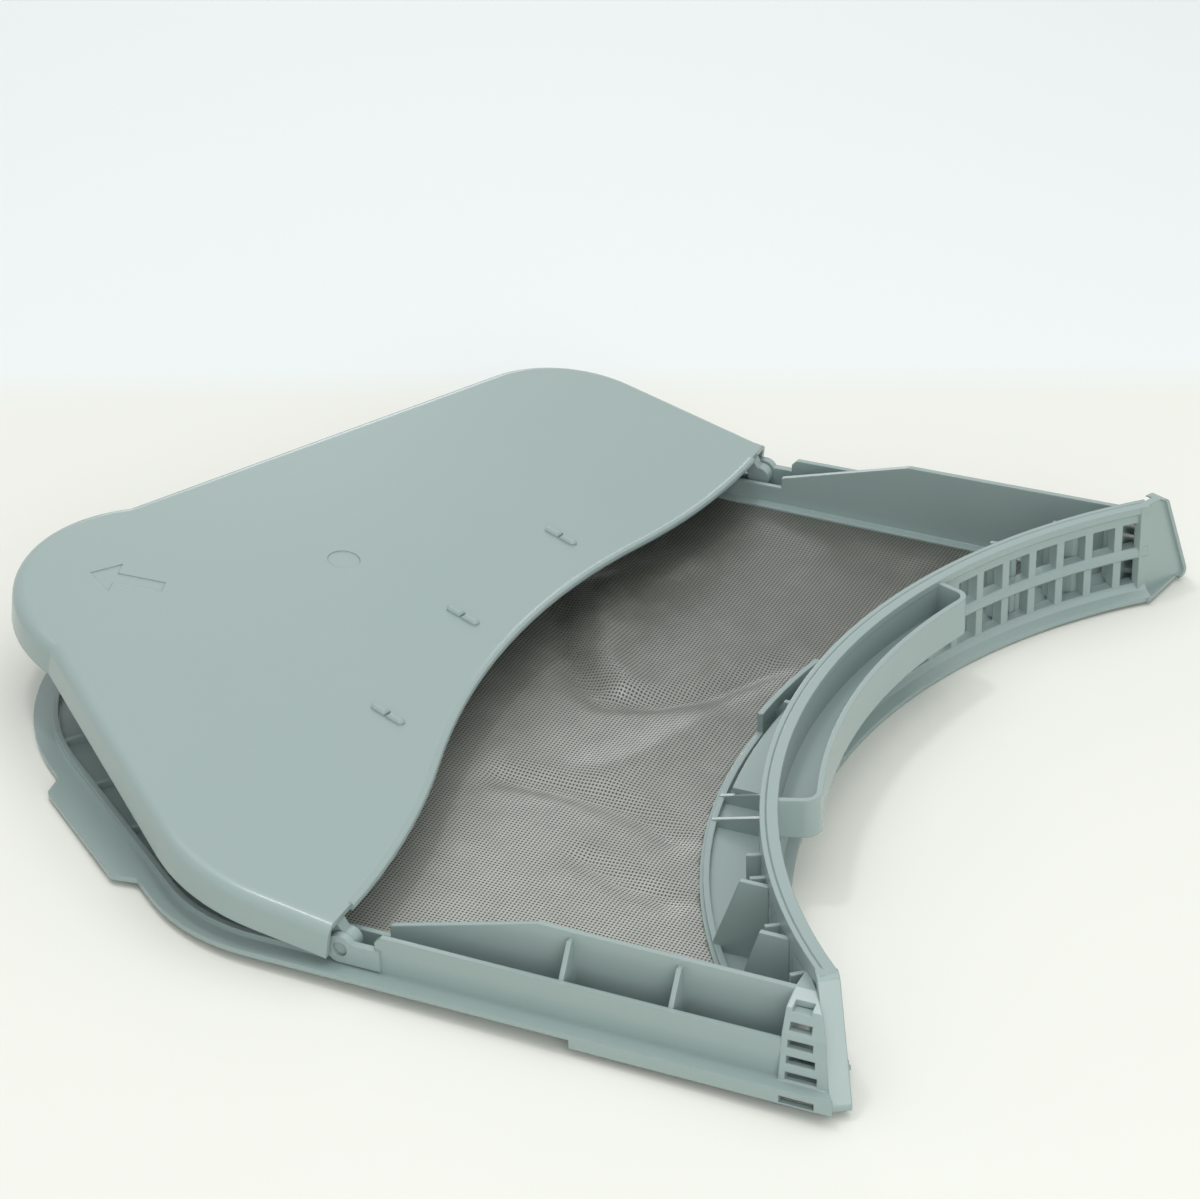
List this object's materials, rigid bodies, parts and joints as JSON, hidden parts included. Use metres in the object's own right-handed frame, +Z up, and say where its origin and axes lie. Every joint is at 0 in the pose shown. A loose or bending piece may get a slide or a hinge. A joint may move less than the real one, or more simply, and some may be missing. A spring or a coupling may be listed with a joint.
{
  "type": "tumble dryer lint filter",
  "caption": "Lint filter for a tumble dryer: a flat tray with a fine mesh floor, a curved front grille with a finger pocket, and a hinged cover over its back half.",
  "frame": {"origin": "on the middle plane of the rails and the grille, at the height of the front lip's underside, half way along the filter", "axes": "+X across the filter, +Y from the front grille towards the cover's free end, +Z up"},
  "size_m": [0.3644, 0.3546, 0.051],
  "materials": {
    "grey_plastic": "satin",
    "woven_mesh": "woven"
  },
  "bodies": {
    "frame": {"tray_frame": "grey_plastic", "front_grille": "grey_plastic", "mesh_screen": "woven_mesh"},
    "cover": {"cover": "grey_plastic"}
  },
  "joints": [
    {"name": "cover_hinge", "type": "hinge", "parent": "frame", "child": "cover", "pos_m": [0, -0.0107, 0.0128], "axis": [1, 0, 0], "range_deg": [-9, 82]}
  ]
}
